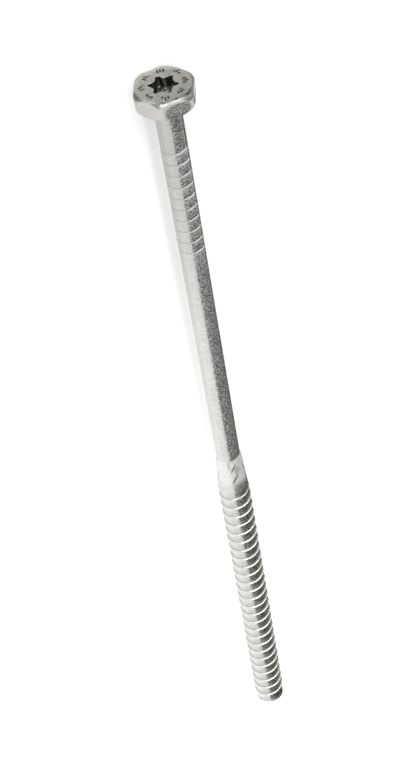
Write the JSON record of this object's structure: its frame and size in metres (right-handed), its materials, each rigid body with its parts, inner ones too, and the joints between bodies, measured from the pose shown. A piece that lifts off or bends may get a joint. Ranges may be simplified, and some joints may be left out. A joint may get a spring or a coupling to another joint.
{
  "type": "hex head screw",
  "caption": "Long zinc-plated hex head screw with a six-lobe recess, a ringed plain shank, a coarse thread and a blunt tip.",
  "frame": {"origin": "centre of the bearing face under the head, on the screw's axis", "axes": "+X along the screw from its head to its tip; two flats of the head face +Z and -Z, and the screw lies on the lower one"},
  "size_m": [0.2312, 0.0146, 0.013],
  "materials": {
    "zinc": "bright zinc plating with a fine speckle"
  },
  "bodies": {
    "root": {"screw": "zinc"}
  },
  "joints": []
}
